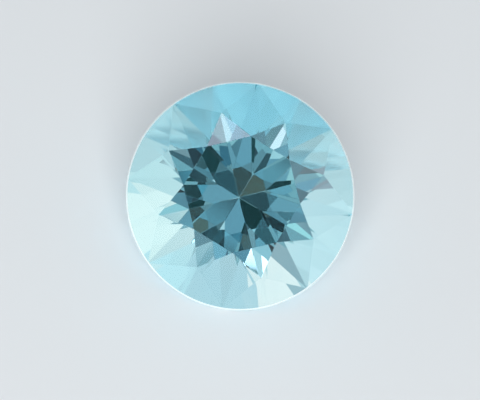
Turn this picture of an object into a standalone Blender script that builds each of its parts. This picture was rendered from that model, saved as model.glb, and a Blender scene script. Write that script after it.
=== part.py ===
"""A faceted aquamarine, a standard round brilliant, as it lies loose on a surface.

The stone is one solid. It is cut here the way a cutter works: a round blank is
turned to the girdle's diameter, then every facet is ground on as a flat, first
the pavilion, then the crown, then the table. It is then laid down on one of its
eight pavilion mains, with the culet and the girdle both on the surface and the
table facing up and towards -Y, which is how such a stone rests when it is put
down face up.

Stone axes while cutting: +Z out of the table, the girdle's mid-plane at z = 0,
and a pavilion main at azimuth -90 degrees, which becomes the resting facet.
Metres, +Z up.
"""

import math

import bmesh
import bpy
from mathutils import Matrix, Vector

# ---- driving dimensions -------------------------------------------------
GIRDLE_DIAMETER = 0.0100  # the round outline
FOLD = 8  # mains on the crown, and on the pavilion
CROWN_DEG = 39.0  # crown mains, from the girdle plane
PAVILION_DEG = 43.0  # pavilion mains, from the girdle plane
TABLE_RATIO = 0.51  # table, corner to corner, over the girdle diameter
STAR_RATIO = 0.50  # how far the stars reach from the table's edge to the girdle
LOWER_RATIO = 0.76  # how far the lower girdle facets reach in to the culet
GIRDLE_HALF = 0.00010  # half the girdle's height where it is thickest
GIRDLE_SIDES = 96  # sides of the turned blank
CUT_SNAP = 1.0e-8  # points this near a cut lie on it

R = GIRDLE_DIAMETER / 2
STEP = 2 * math.pi / FOLD
FIRST = -math.pi / 2


def on_ring(radius, azimuth, z):
    return Vector((radius * math.cos(azimuth), radius * math.sin(azimuth), z))


def tilted_normal(azimuth, slope, up):
    """Outward normal of a facet whose angle from the girdle plane is slope."""
    return Vector(
        (
            math.sin(slope) * math.cos(azimuth),
            math.sin(slope) * math.sin(azimuth),
            math.cos(slope) * up,
        )
    )


def break_facet(meet, girdle_point, azimuth, up):
    """The girdle facet through a meet point and a main's point on the girdle,
    which faces the given azimuth: the point and the normal of its cut."""
    run = meet - girdle_point
    out = run.x * math.cos(azimuth) + run.y * math.sin(azimuth)
    slope = math.atan(-run.z * up / out)
    return girdle_point, tilted_normal(azimuth, slope, up)


def pavilion_cuts():
    slope = math.radians(PAVILION_DEG)
    inner = R * (1 - LOWER_RATIO)
    meet_z = -GIRDLE_HALF - (R - inner * math.cos(STEP / 2)) * math.tan(slope)
    mains, breaks = [], []
    for k in range(FOLD):
        main = FIRST + k * STEP
        mains.append((on_ring(R, main, -GIRDLE_HALF), tilted_normal(main, slope, -1)))
        meet = on_ring(inner, main + STEP / 2, meet_z)
        for corner, azimuth in (
            (main, main + STEP / 4),
            (main + STEP, main + STEP * 3 / 4),
        ):
            point = on_ring(R, corner, -GIRDLE_HALF)
            breaks.append(break_facet(meet, point, azimuth, -1))
    return mains + breaks


def crown_cuts():
    slope = math.radians(CROWN_DEG)
    corner_r = R * TABLE_RATIO
    table_z = GIRDLE_HALF + (R - corner_r) * math.tan(slope)
    flat_r = corner_r * math.cos(STEP / 2)
    apex_r = flat_r + STAR_RATIO * (R - flat_r)
    apex_z = GIRDLE_HALF + (R - apex_r * math.cos(STEP / 2)) * math.tan(slope)
    mains, stars, breaks = [], [], []
    for k in range(FOLD):
        main = FIRST + k * STEP
        mains.append((on_ring(R, main, GIRDLE_HALF), tilted_normal(main, slope, 1)))
        apex = on_ring(apex_r, main + STEP / 2, apex_z)
        edge = math.atan((table_z - apex_z) / (apex_r - flat_r))
        stars.append((apex, tilted_normal(main + STEP / 2, edge, 1)))
        for corner, azimuth in (
            (main, main + STEP / 4),
            (main + STEP, main + STEP * 3 / 4),
        ):
            point = on_ring(R, corner, GIRDLE_HALF)
            breaks.append(break_facet(apex, point, azimuth, 1))
    table = [(Vector((0, 0, table_z)), Vector((0, 0, 1)))]
    return mains + breaks + table + stars


def grind(bm, point, normal):
    """Takes off all that stands outside one plane, and closes the flat it leaves."""
    cut = bmesh.ops.bisect_plane(
        bm,
        geom=bm.verts[:] + bm.edges[:] + bm.faces[:],
        dist=CUT_SNAP,
        plane_co=point,
        plane_no=normal,
        clear_outer=True,
    )
    rim = [g for g in cut["geom_cut"] if isinstance(g, bmesh.types.BMEdge)]
    rim = [e for e in rim if e.is_valid and len(e.link_faces) == 1]
    if rim:
        bmesh.ops.contextual_create(bm, geom=rim)


def cut_stone():
    bm = bmesh.new()
    blank = 1.2 * R * math.tan(math.radians(max(PAVILION_DEG, CROWN_DEG)))
    bmesh.ops.create_cone(
        bm,
        cap_ends=True,
        cap_tris=False,
        segments=GIRDLE_SIDES,
        radius1=R,
        radius2=R,
        depth=2 * blank,
        matrix=Matrix.Rotation(FIRST, 4, "Z"),
    )
    for point, normal in pavilion_cuts() + crown_cuts():
        grind(bm, point, normal)
    bmesh.ops.remove_doubles(bm, verts=bm.verts[:], dist=20 * CUT_SNAP)
    bmesh.ops.dissolve_degenerate(bm, dist=20 * CUT_SNAP, edges=bm.edges[:])
    bmesh.ops.recalc_face_normals(bm, faces=bm.faces[:])
    return bm


def lay_down(bm):
    """Turns the stone onto its resting main, then puts the origin under the middle
    of its bounding box."""
    turn = Matrix.Rotation(math.radians(PAVILION_DEG), 4, "X")
    bmesh.ops.transform(bm, matrix=turn, verts=bm.verts[:])
    low = [min(v.co[i] for v in bm.verts) for i in range(3)]
    high = [max(v.co[i] for v in bm.verts) for i in range(3)]
    shift = Vector((-(low[0] + high[0]) / 2, -(low[1] + high[1]) / 2, -low[2]))
    bmesh.ops.translate(bm, vec=shift, verts=bm.verts[:])


def beryl():
    """Clear pale blue-green beryl."""
    material = bpy.data.materials.new("aquamarine")
    material.use_nodes = True
    shader = material.node_tree.nodes["Principled BSDF"]
    shader.inputs["Base Color"].default_value = (0.55, 0.86, 0.92, 1.0)
    shader.inputs["Metallic"].default_value = 0.0
    shader.inputs["Roughness"].default_value = 0.02
    shader.inputs["IOR"].default_value = 1.577
    shader.inputs["Transmission Weight"].default_value = 1.0
    return material


def main():
    for old in list(bpy.data.objects):
        bpy.data.objects.remove(old)
    bm = cut_stone()
    lay_down(bm)
    mesh = bpy.data.meshes.new("aquamarine")
    bm.to_mesh(mesh)
    bm.free()
    mesh.materials.append(beryl())
    stone = bpy.data.objects.new("aquamarine", mesh)
    bpy.context.scene.collection.objects.link(stone)


main()
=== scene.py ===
"""The looks of a cut and polished aquamarine, a round brilliant that lies face up on
one of its pavilion facets, on a pale table under soft studio light.

The stone here is ground from a round blank by the same cuts as the frame's node, with
the finer things a real stone has: a matt bruted girdle that is truly round, facet
junctions that are not razor sharp, and a polish that is not quite perfect.
"""

import math

import bmesh
import bpy
from mathutils import Matrix, Vector


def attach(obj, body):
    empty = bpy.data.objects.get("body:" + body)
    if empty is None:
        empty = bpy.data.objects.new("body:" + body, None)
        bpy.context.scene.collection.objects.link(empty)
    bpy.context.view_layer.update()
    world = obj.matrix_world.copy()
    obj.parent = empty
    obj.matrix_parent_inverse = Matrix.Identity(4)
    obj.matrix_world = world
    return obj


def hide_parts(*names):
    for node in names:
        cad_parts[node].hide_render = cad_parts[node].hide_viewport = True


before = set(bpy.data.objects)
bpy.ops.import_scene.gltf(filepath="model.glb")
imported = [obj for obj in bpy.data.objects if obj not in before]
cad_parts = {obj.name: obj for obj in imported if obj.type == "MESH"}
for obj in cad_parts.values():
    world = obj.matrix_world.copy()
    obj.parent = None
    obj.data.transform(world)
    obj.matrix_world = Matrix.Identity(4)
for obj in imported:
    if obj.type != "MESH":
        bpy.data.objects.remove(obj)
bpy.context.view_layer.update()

# ---- the stone's own numbers, as in the frame -----------------------------
GIRDLE_DIAMETER = 0.0100
FOLD = 8
CROWN_DEG = 39.0
PAVILION_DEG = 43.0
TABLE_RATIO = 0.51
STAR_RATIO = 0.50
LOWER_RATIO = 0.76
GIRDLE_HALF = 0.00010
CUT_SNAP = 1.0e-8
REST_SLOPE_DEG = PAVILION_DEG

GIRDLE_SIDES = 192  # the blank is turned rounder than the frame's
RIM_FROST = 0.00006  # the frosting runs this far over the girdle's two rims
JUNCTION_WEAR = 0.000004  # the junctions of the facets are rubbed down this wide
SPINE_WEAR = 0.000012  # and those that run to the point of the pavilion this wide
R = GIRDLE_DIAMETER / 2
STEP = 2 * math.pi / FOLD
FIRST = -math.pi / 2

# ---- how the camera looks at it --------------------------------------------
VIEW_TILT = (0.03, 0.03)  # where the table's normal points, in the picture
VIEW_TURN_DEG = -9.0  # turn of the stone in the picture, about its own axis
STONE_RADIUS_PX = 114.3
STONE_CENTRE_PX = (240.3, 196.0)
FRAME_PX = (480, 400)
LENS_MM = 250.0
SENSOR_MM = 36.0


def on_ring(radius, azimuth, z):
    return Vector((radius * math.cos(azimuth), radius * math.sin(azimuth), z))


def tilted_normal(azimuth, slope, up):
    return Vector(
        (
            math.sin(slope) * math.cos(azimuth),
            math.sin(slope) * math.sin(azimuth),
            math.cos(slope) * up,
        )
    )


def break_facet(meet, girdle_point, azimuth, up):
    run = meet - girdle_point
    out = run.x * math.cos(azimuth) + run.y * math.sin(azimuth)
    slope = math.atan(-run.z * up / out)
    return girdle_point, tilted_normal(azimuth, slope, up)


def pavilion_cuts():
    slope = math.radians(PAVILION_DEG)
    inner = R * (1 - LOWER_RATIO)
    meet_z = -GIRDLE_HALF - (R - inner * math.cos(STEP / 2)) * math.tan(slope)
    mains, breaks = [], []
    for k in range(FOLD):
        main = FIRST + k * STEP
        mains.append((on_ring(R, main, -GIRDLE_HALF), tilted_normal(main, slope, -1)))
        meet = on_ring(inner, main + STEP / 2, meet_z)
        for corner, azimuth in (
            (main, main + STEP / 4),
            (main + STEP, main + STEP * 3 / 4),
        ):
            point = on_ring(R, corner, -GIRDLE_HALF)
            breaks.append(break_facet(meet, point, azimuth, -1))
    return mains + breaks


def crown_cuts():
    slope = math.radians(CROWN_DEG)
    corner_r = R * TABLE_RATIO
    table_z = GIRDLE_HALF + (R - corner_r) * math.tan(slope)
    flat_r = corner_r * math.cos(STEP / 2)
    apex_r = flat_r + STAR_RATIO * (R - flat_r)
    apex_z = GIRDLE_HALF + (R - apex_r * math.cos(STEP / 2)) * math.tan(slope)
    mains, stars, breaks = [], [], []
    for k in range(FOLD):
        main = FIRST + k * STEP
        mains.append((on_ring(R, main, GIRDLE_HALF), tilted_normal(main, slope, 1)))
        apex = on_ring(apex_r, main + STEP / 2, apex_z)
        edge = math.atan((table_z - apex_z) / (apex_r - flat_r))
        stars.append((apex, tilted_normal(main + STEP / 2, edge, 1)))
        for corner, azimuth in (
            (main, main + STEP / 4),
            (main + STEP, main + STEP * 3 / 4),
        ):
            point = on_ring(R, corner, GIRDLE_HALF)
            breaks.append(break_facet(apex, point, azimuth, 1))
    table = [(Vector((0, 0, table_z)), Vector((0, 0, 1)))]
    return mains + breaks + table + stars


def grind(bm, point, normal):
    cut = bmesh.ops.bisect_plane(
        bm,
        geom=bm.verts[:] + bm.edges[:] + bm.faces[:],
        dist=CUT_SNAP,
        plane_co=point,
        plane_no=normal,
        clear_outer=True,
    )
    rim = [g for g in cut["geom_cut"] if isinstance(g, bmesh.types.BMEdge)]
    rim = [e for e in rim if e.is_valid and len(e.link_faces) == 1]
    if rim:
        bmesh.ops.contextual_create(bm, geom=rim)


def frost_rims(bm, width):
    """Carry the girdle's frosting a little way over both rims, as far as the blank's
    turning tool went before the facets were cut."""
    inner = R - width

    def crossing(rim, deep):
        """Where the junction from a rim point inwards passes the frosting's edge."""
        a, b = rim.co, deep.co
        low, high = 0.0, 1.0
        for _ in range(40):
            t = (low + high) / 2
            if a.lerp(b, t).xy.length > inner:
                low = t
            else:
                high = t
        return a.lerp(b, low)

    shared = {}

    def new_vert(key, place):
        if key not in shared:
            shared[key] = bm.verts.new(place)
        return shared[key]

    girdle = {v for f in bm.faces if f.material_index == 1 for v in f.verts}
    cut = [f for f in bm.faces if f.material_index == 0 and girdle & set(f.verts)]
    for face in cut:
        loop = list(face.verts)
        start = next(
            i for i in range(len(loop)) if loop[i] in girdle and loop[i - 1] not in girdle
        )
        loop = loop[start:] + loop[:start]
        chain = [v for v in loop if v in girdle]
        rest = loop[len(chain) :]
        ends = (chain[0], rest[-1]), (chain[-1], rest[0])
        first, last = (new_vert(frozenset(e), crossing(*e)) for e in ends)
        inside = [first]
        normal, point = face.normal.copy(), chain[0].co.copy()
        for v in chain[1:-1]:
            flat = v.co.xy.normalized() * inner
            z = point.z - (flat - point.xy).dot(normal.xy) / normal.z
            inside.append(new_vert((face.index, v), Vector((flat.x, flat.y, z))))
        inside.append(last)
        bm.faces.remove(face)
        bm.faces.new(inside + rest).material_index = 0
        if len(chain) == 1:
            bm.faces.new((first, chain[0], last)).material_index = 1
        for i in range(len(chain) - 1):
            strip = (chain[i], chain[i + 1], inside[i + 1], inside[i])
            bm.faces.new(strip).material_index = 1
    for edge in [e for e in bm.edges if not e.link_faces]:
        bm.edges.remove(edge)
    bm.normal_update()


def soften(bm, edges, width):
    """Wear a narrow flat onto the given edges."""
    bmesh.ops.bevel(
        bm,
        geom=edges,
        offset=width,
        offset_type="OFFSET",
        segments=1,
        profile=0.5,
        affect="EDGES",
        clamp_overlap=True,
        material=0,
    )


def cut_stone():
    bm = bmesh.new()
    blank = 1.2 * R * math.tan(math.radians(max(PAVILION_DEG, CROWN_DEG)))
    bmesh.ops.create_cone(
        bm,
        cap_ends=True,
        cap_tris=False,
        segments=GIRDLE_SIDES,
        radius1=R,
        radius2=R,
        depth=2 * blank,
        matrix=Matrix.Rotation(FIRST, 4, "Z"),
    )
    for point, normal in pavilion_cuts() + crown_cuts():
        grind(bm, point, normal)
    bmesh.ops.remove_doubles(bm, verts=bm.verts[:], dist=20 * CUT_SNAP)
    bmesh.ops.dissolve_degenerate(bm, dist=20 * CUT_SNAP, edges=bm.edges[:])
    bmesh.ops.recalc_face_normals(bm, faces=bm.faces[:])
    for face in bm.faces:
        face.normal_update()
        face.material_index = 1 if abs(face.normal.z) < 0.01 else 0
    bm.faces.index_update()
    frost_rims(bm, RIM_FROST)
    inner = [
        e
        for e in bm.edges
        if all(f.material_index == 0 for f in e.link_faces)
        and e.calc_face_angle() > math.radians(2)
    ]
    culet = min(bm.verts, key=lambda v: v.co.z)
    spines = [e for e in inner if culet in e.verts]
    soften(bm, [e for e in inner if e not in spines], JUNCTION_WEAR)
    culet = min(bm.verts, key=lambda v: v.co.z)
    soften(bm, list(culet.link_edges), SPINE_WEAR)
    bmesh.ops.recalc_face_normals(bm, faces=bm.faces[:])
    for face in bm.faces:
        face.normal_update()
        face.smooth = abs(face.normal.z) < 0.01
    for edge in bm.edges:
        edge.smooth = all(f.smooth for f in edge.link_faces)
    return bm


def lay_down(bm):
    """The same turn and shift as the frame's. Returns the matrix from the stone's own
    axes to the world's."""
    turn = Matrix.Rotation(math.radians(REST_SLOPE_DEG), 4, "X")
    bmesh.ops.transform(bm, matrix=turn, verts=bm.verts[:])
    low = [min(v.co[i] for v in bm.verts) for i in range(3)]
    high = [max(v.co[i] for v in bm.verts) for i in range(3)]
    shift = Vector((-(low[0] + high[0]) / 2, -(low[1] + high[1]) / 2, -low[2]))
    bmesh.ops.translate(bm, vec=shift, verts=bm.verts[:])
    return Matrix.Translation(shift) @ turn


# ---- materials ------------------------------------------------------------
def new_material(name):
    material = bpy.data.materials.new(name)
    material.use_nodes = True
    tree = material.node_tree
    shader = tree.nodes["Principled BSDF"]
    return material, tree, shader


def link(tree, a, out, b, socket):
    tree.links.new(a.outputs[out], b.inputs[socket])


def absorb(tree):
    """The body colour, by how far light goes through the crystal."""
    volume = tree.nodes.new("ShaderNodeVolumeAbsorption")
    volume.inputs["Color"].default_value = (0.12, 0.856, 0.925, 1.0)
    volume.inputs["Density"].default_value = 80.0
    link(tree, volume, "Volume", tree.nodes["Material Output"], "Volume")


def grain(tree, scale, detail, stretch=(1, 1, 1)):
    """Noise fixed to the stone, its scale in features a metre."""
    where = tree.nodes.new("ShaderNodeTexCoord")
    fit = tree.nodes.new("ShaderNodeMapping")
    fit.inputs["Scale"].default_value = stretch
    noise = tree.nodes.new("ShaderNodeTexNoise")
    noise.inputs["Scale"].default_value = scale
    noise.inputs["Detail"].default_value = detail
    link(tree, where, "Object", fit, "Vector")
    link(tree, fit, "Vector", noise, "Vector")
    return noise


def spread(tree, source, out, low, high, to_low, to_high):
    reach = tree.nodes.new("ShaderNodeMapRange")
    reach.inputs["From Min"].default_value = low
    reach.inputs["From Max"].default_value = high
    reach.inputs["To Min"].default_value = to_low
    reach.inputs["To Max"].default_value = to_high
    link(tree, source, out, reach, "Value")
    return reach


def polished_beryl():
    """Clear beryl under a good but not perfect polish: faint clouded patches, and a
    body colour that is a touch stronger in some bands of growth."""
    material, tree, shader = new_material("polished_beryl")
    shader.inputs["IOR"].default_value = 1.577
    shader.inputs["Transmission Weight"].default_value = 1.0
    cloud = grain(tree, 900.0, 3.0)
    rough = spread(tree, cloud, "Fac", 0.45, 0.85, 0.0, 0.012)
    link(tree, rough, "Result", shader, "Roughness")
    bands = grain(tree, 350.0, 2.0, (0.35, 0.35, 2.0))
    ramp = tree.nodes.new("ShaderNodeValToRGB")
    ramp.color_ramp.elements[0].position = 0.35
    ramp.color_ramp.elements[0].color = (0.965, 0.99, 1.0, 1.0)
    ramp.color_ramp.elements[1].position = 0.65
    ramp.color_ramp.elements[1].color = (1.0, 1.0, 1.0, 1.0)
    link(tree, bands, "Fac", ramp, "Fac")
    link(tree, ramp, "Color", shader, "Base Color")
    absorb(tree)
    return material


def bruted_girdle():
    """The girdle is left as it was ground: a fine frosted grit."""
    material, tree, shader = new_material("bruted_girdle")
    shader.inputs["IOR"].default_value = 1.577
    shader.inputs["Transmission Weight"].default_value = 0.35
    grit = grain(tree, 22000.0, 4.0)
    rough = spread(tree, grit, "Fac", 0.3, 0.7, 0.40, 0.60)
    link(tree, rough, "Result", shader, "Roughness")
    chalk = spread(tree, grit, "Fac", 0.35, 0.65, 0.90, 1.0)
    tint = tree.nodes.new("ShaderNodeCombineColor")
    link(tree, chalk, "Result", tint, "Red")
    tint.inputs["Green"].default_value = 1.0
    tint.inputs["Blue"].default_value = 1.0
    link(tree, tint, "Color", shader, "Base Color")
    bump = tree.nodes.new("ShaderNodeBump")
    bump.inputs["Strength"].default_value = 0.5
    bump.inputs["Distance"].default_value = 0.00001
    link(tree, grit, "Fac", bump, "Height")
    link(tree, bump, "Normal", shader, "Normal")
    absorb(tree)
    return material


def matt(name, colour, rough=0.9):
    material, tree, shader = new_material(name)
    shader.inputs["Base Color"].default_value = (*colour, 1.0)
    shader.inputs["Roughness"].default_value = rough
    shader.inputs["Specular IOR Level"].default_value = 0.2
    return material


# ---- the studio -----------------------------------------------------------
def plane(name, size, matrix, material):
    bm = bmesh.new()
    bmesh.ops.create_grid(bm, x_segments=1, y_segments=1, size=0.5)
    for v in bm.verts:
        v.co.x *= size[0]
        v.co.y *= size[1]
    mesh = bpy.data.meshes.new(name)
    bm.to_mesh(mesh)
    bm.free()
    mesh.materials.append(material)
    thing = bpy.data.objects.new(name, mesh)
    thing.matrix_world = matrix
    bpy.context.scene.collection.objects.link(thing)
    return thing


def seen(angle, azimuth):
    """A direction from the stone: angle off the camera's line, azimuth in the
    picture from the right, anticlockwise, both in degrees."""
    a, z = math.radians(angle), math.radians(azimuth)
    return (
        right * math.sin(a) * math.cos(z)
        + up * math.sin(a) * math.sin(z)
        + back * math.cos(a)
    )


def light_tent(backdrop, room, through, base, cards):
    """A world that is a pale backdrop for the camera, a plain even room for the table,
    and a tent of soft-edged cards, each laid over those before it, for what the stone
    mirrors and bends. What the table gets through the stone is an even light of its
    own."""
    sky = bpy.data.worlds.new("studio")
    sky.use_nodes = True
    sky.cycles.sampling_method = "NONE"
    tree = sky.node_tree
    back_light = tree.nodes["Background"]
    towards = tree.nodes.new("ShaderNodeTexCoord")
    colour = tree.nodes.new("ShaderNodeRGB")
    colour.outputs[0].default_value = (*base, 1.0)
    last = colour.outputs[0]
    for angle, azimuth, half, edge, tint in cards:
        axis = seen(angle, azimuth)
        dot = tree.nodes.new("ShaderNodeVectorMath")
        dot.operation = "DOT_PRODUCT"
        dot.inputs[1].default_value = axis
        tree.links.new(towards.outputs["Generated"], dot.inputs[0])
        off = tree.nodes.new("ShaderNodeMath")
        off.operation = "ARCCOSINE"
        tree.links.new(dot.outputs["Value"], off.inputs[0])
        cover = tree.nodes.new("ShaderNodeMapRange")
        cover.interpolation_type = "SMOOTHSTEP"
        cover.inputs["From Min"].default_value = math.radians(half + edge / 2)
        cover.inputs["From Max"].default_value = math.radians(half - edge / 2)
        tree.links.new(off.outputs[0], cover.inputs["Value"])
        over = tree.nodes.new("ShaderNodeMix")
        over.data_type = "RGBA"
        over.inputs[7].default_value = (*tint, 1.0)
        tree.links.new(cover.outputs["Result"], over.inputs[0])
        tree.links.new(last, over.inputs[6])
        last = over.outputs[2]
    path = tree.nodes.new("ShaderNodeLightPath")
    glow = tree.nodes.new("ShaderNodeMix")
    glow.data_type = "RGBA"
    glow.inputs[7].default_value = (*through, 1.0)
    tree.links.new(path.outputs["Diffuse Depth"], glow.inputs[0])
    tree.links.new(last, glow.inputs[6])
    last = glow.outputs[2]
    for rays, tint in (("Is Diffuse Ray", room), ("Is Camera Ray", backdrop)):
        pick = tree.nodes.new("ShaderNodeMix")
        pick.data_type = "RGBA"
        pick.inputs[7].default_value = (*tint, 1.0)
        tree.links.new(path.outputs[rays], pick.inputs[0])
        tree.links.new(last, pick.inputs[6])
        last = pick.outputs[2]
    tree.links.new(last, back_light.inputs["Color"])
    bpy.context.scene.world = sky


def key_light(angle, azimuth, far, size, power):
    """The softbox that gives the stone its shadow on the table."""
    lamp = bpy.data.lights.new("key", "AREA")
    lamp.size = size
    lamp.energy = power
    thing = bpy.data.objects.new("key", lamp)
    place = centre + seen(angle, azimuth) * far
    turn = (centre - place).to_track_quat("-Z", "Y").to_matrix().to_4x4()
    thing.matrix_world = Matrix.Translation(place) @ turn
    thing.visible_glossy = thing.visible_transmission = thing.visible_camera = False
    bpy.context.scene.collection.objects.link(thing)


# ---- make it --------------------------------------------------------------
bm = cut_stone()
place = lay_down(bm)
mesh = bpy.data.meshes.new("aquamarine_stone")
bm.to_mesh(mesh)
bm.free()
mesh.materials.append(polished_beryl())
mesh.materials.append(bruted_girdle())
stone = bpy.data.objects.new("aquamarine_stone", mesh)
bpy.context.scene.collection.objects.link(stone)
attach(stone, "root")
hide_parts("aquamarine")

# The camera's axes in the stone's own frame, then in the world's.
tilt = Vector((0, 0, 1)).rotation_difference(Vector((*VIEW_TILT, 1))).to_matrix()
to_view = tilt @ Matrix.Rotation(math.radians(VIEW_TURN_DEG), 3, "Z")
from_view = place.to_3x3() @ to_view.transposed()
right, up, back = (from_view @ Vector(v) for v in ((1, 0, 0), (0, 1, 0), (0, 0, 1)))
px = R / STONE_RADIUS_PX
distance = LENS_MM / SENSOR_MM * FRAME_PX[0] * px
centre = place.translation
eye = centre + back * distance
eye -= right * (STONE_CENTRE_PX[0] - FRAME_PX[0] / 2) * px
eye -= up * (FRAME_PX[1] / 2 - STONE_CENTRE_PX[1]) * px
camera = bpy.data.cameras.new("camera")
camera.lens = LENS_MM
camera.sensor_width = SENSOR_MM
camera.clip_start, camera.clip_end = 0.001, 5.0
camera_object = bpy.data.objects.new("camera", camera)
camera_object.matrix_world = Matrix.Translation(eye) @ Matrix(
    (right, up, back)
).transposed().to_4x4()
bpy.context.scene.collection.objects.link(camera_object)
bpy.context.scene.camera = camera_object

# A hair of air stays between the polished facet and the table.
gap = Matrix.Translation((0, 0, -0.00002))
floor = plane("floor", (1.2, 1.2), gap, matt("table_top", (0.76, 0.79, 0.81)))
key_light(12, 262, 0.5, 0.30, 2.5)
# Each card: the angle of its middle off the camera's line, where round it, its half
# width and the width of its soft edge, all in degrees, then its colour.
light_tent(
    (0.66, 0.69, 0.71),
    (0.45, 0.46, 0.47),
    (1.55, 1.80, 2.00),
    (0.40, 0.45, 0.50),
    (
        (77, 44, 49, 20, (1.27, 1.10, 1.05)),
        (77, 160, 32, 12, (0.92, 0.90, 0.93)),
        (82, 78, 41, 19, (0.71, 0.76, 0.82)),
        (66, 113, 5, 3, (1.17, 1.07, 1.06)),
        (88, 47, 12, 8, (0.87, 0.94, 0.98)),
        (78, 340, 17, 8, (0.88, 0.91, 0.92)),
        (64, 194, 10, 5, (0.50, 0.42, 0.47)),
        (81, 109, 12.5, 3, (1.35, 1.05, 1.01)),
        (59, 101, 8, 3, (4.2, 4.0, 4.8)),
        (55, 144, 7, 3, (0.10, 0.16, 0.20)),
        (3, 58, 18.5, 4, (0.03, 0.03, 0.035)),
        (9, 38, 10, 7, (0.24, 0.33, 0.40)),
        (13, 8, 4, 3, (0.33, 0.40, 0.48)),
        (17, 281, 3.6, 2, (0.28, 0.39, 0.49)),
        (17, 200, 3.5, 2, (0.35, 0.36, 0.37)),
        (11, 27, 1.8, 1, (0.62, 0.66, 0.73)),
        (4, 201, 1.9, 1, (0.20, 0.37, 0.47)),
        (13, 68, 4.5, 3, (0.31, 0.39, 0.48)),
        (9, 305, 4.6, 2, (0.32, 0.43, 0.52)),
        (9, 341, 2, 1, (0.35, 0.49, 0.60)),
        (8, 148, 5, 3, (0.27, 0.31, 0.36)),
        (14, 323, 2.5, 1.5, (0.06, 0.09, 0.11)),
        (13.7, 154, 2, 1.5, (0.09, 0.12, 0.14)),
        (8, 190, 4.2, 2, (0.09, 0.17, 0.24)),
        (11.3, 44, 1.8, 1, (0.05, 0.05, 0.06)),
        (7.3, 50, 3.8, 3, (0.05, 0.05, 0.06)),
        (13, 213, 3.5, 2, (0.17, 0.125, 0.10)),
        (13, 275, 2.3, 1.2, (0.09, 0.075, 0.07)),
        (17.5, 169, 5.2, 4, (0.0, 0.0, 0.0)),
        (15.5, 182, 2.8, 2, (0.12, 0.09, 0.08)),
        (16.4, 118, 5.6, 2, (0.01, 0.03, 0.03)),
        (24.5, 97, 2, 1, (0.66, 0.70, 0.74)),
        (25, 67, 2, 1, (0.83, 0.87, 0.87)),
        (27, 53, 4, 2, (0.12, 0.14, 0.17)),
        (25, 17, 7.3, 3.5, (0.95, 0.80, 0.84)),
        (22.5, 326, 3.2, 1.5, (1.65, 1.08, 1.15)),
    ),
)

scene = bpy.context.scene
scene.cycles.max_bounces = 40
scene.cycles.glossy_bounces = 32
scene.cycles.transmission_bounces = 32
scene.cycles.transparent_max_bounces = 16
scene.view_settings.view_transform = "Standard"
